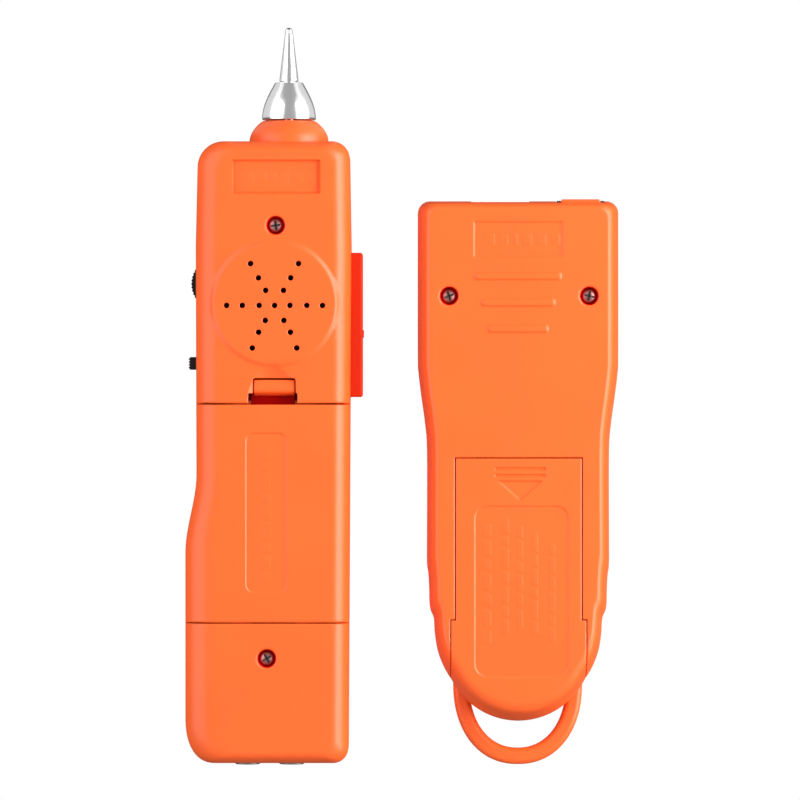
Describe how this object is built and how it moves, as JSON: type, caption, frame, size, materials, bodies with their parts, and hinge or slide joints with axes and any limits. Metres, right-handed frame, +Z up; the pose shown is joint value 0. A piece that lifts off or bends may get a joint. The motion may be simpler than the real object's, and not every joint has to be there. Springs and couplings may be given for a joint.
{
  "type": "tone probe kit",
  "caption": "Cable tracing kit lying face down: a tone probe with a metal tip and a tone generator with a hanging loop.",
  "frame": {"origin": "middle of the pair's footprint, on the surface that they lie on", "axes": "+X from the probe to the generator, +Y towards the probe's tip, +Z up from the units' front faces to their backs"},
  "size_m": [0.1216, 0.2078, 0.0297],
  "materials": {
    "orange_plastic": "fine moulded texture, satin",
    "black_plastic": "matt",
    "nickel_plate": "bright plated",
    "steel": "zinc plated",
    "circuit_board": "green solder mask",
    "gold_contact": "bright plated",
    "panel_film": "printed film, satin",
    "red_lens": "translucent, glossy",
    "clear_lens": "clear",
    "battery_jacket": "printed metal jacket",
    "red_wire": "satin insulation",
    "black_wire": "satin insulation",
    "socket_plastic": "satin"
  },
  "bodies": {
    "root": {"probe_front_shell": "orange_plastic", "probe_back_shell": "orange_plastic", "probe_nose_collar": "orange_plastic", "probe_tip_ferrule": "nickel_plate", "probe_tip": "nickel_plate", "probe_tip_lead": "red_wire", "probe_circuit_board": "circuit_board", "probe_speaker": "black_plastic", "probe_volume_control": "steel", "probe_mode_switch_body": "steel", "probe_button_switch": "steel", "probe_socket_bezel": "orange_plastic", "probe_rj45_jack": "socket_plastic", "probe_rj11_jack": "socket_plastic", "probe_rj45_contacts": "gold_contact", "probe_rj11_contacts": "gold_contact", "probe_earphone_jack": "black_plastic", "probe_earphone_nut": "steel", "probe_torch_lamp": "clear_lens", "probe_torch_bezel": "steel", "probe_tail_board": "circuit_board", "probe_battery": "battery_jacket", "probe_battery_snap": "black_plastic", "probe_lead_red": "red_wire", "probe_lead_black": "black_wire", "probe_front_label": "panel_film", "probe_signal_lamp": "red_lens", "probe_line_lamps": "red_lens", "probe_screw_upper": "steel", "probe_screw_lower": "steel", "generator_front_shell": "orange_plastic", "generator_back_shell": "orange_plastic", "generator_hanging_loop": "orange_plastic", "generator_circuit_board": "circuit_board", "generator_rj45_jack": "socket_plastic", "generator_rj11_jack": "socket_plastic", "generator_rj45_contacts": "gold_contact", "generator_rj11_contacts": "gold_contact", "generator_mode_switch_body": "steel", "generator_battery": "battery_jacket", "generator_battery_snap": "black_plastic", "generator_lead_red": "red_wire", "generator_lead_black": "black_wire", "generator_front_label": "panel_film", "generator_tone_lamp": "red_lens", "generator_test_lamp": "red_lens", "generator_line_lamps": "red_lens", "generator_screw_left": "steel", "generator_screw_right": "steel"},
    "probe_door": {"probe_battery_door": "orange_plastic"},
    "probe_catch": {"probe_door_catch": "orange_plastic"},
    "volume_wheel": {"probe_volume_wheel": "black_plastic"},
    "probe_switch": {"probe_mode_switch_knob": "black_plastic"},
    "listen_button": {"probe_listen_button": "black_plastic"},
    "generator_switch": {"generator_mode_switch_knob": "black_plastic"},
    "generator_door": {"generator_battery_door": "orange_plastic"}
  },
  "joints": [
    {"name": "probe_door_hinge", "type": "hinge", "parent": "root", "child": "probe_door", "pos_m": [-0.0362, -0.06335, 0.029], "axis": [1, 0, 0], "range_deg": [0, 100]},
    {"name": "probe_catch_flex", "type": "hinge", "parent": "probe_door", "child": "probe_catch", "pos_m": [-0.0362, 0.00055, 0.0228], "axis": [1, 0, 0], "range_deg": [0, 8], "stiffness_Nm_per_rad": 0.4},
    {"name": "volume_wheel_turn", "type": "hinge", "parent": "root", "child": "volume_wheel", "pos_m": [-0.0518, 0.03155, 0.0115], "axis": [0, 0, 1], "range_deg": [-140, 140]},
    {"name": "probe_switch_slide", "type": "slide", "parent": "root", "child": "probe_switch", "axis": [0, 1, 0], "range_m": [0, 0.0026]},
    {"name": "listen_button_press", "type": "slide", "parent": "root", "child": "listen_button", "axis": [0, 0, 1], "range_m": [0, 0.0008], "stiffness_N_per_m": 400},
    {"name": "generator_switch_slide", "type": "slide", "parent": "root", "child": "generator_switch", "axis": [0, 1, 0], "range_m": [-0.004, 0.004]},
    {"name": "generator_door_slide", "type": "slide", "parent": "root", "child": "generator_door", "axis": [0, -1, 0], "range_m": [0, 0.075]}
  ]
}
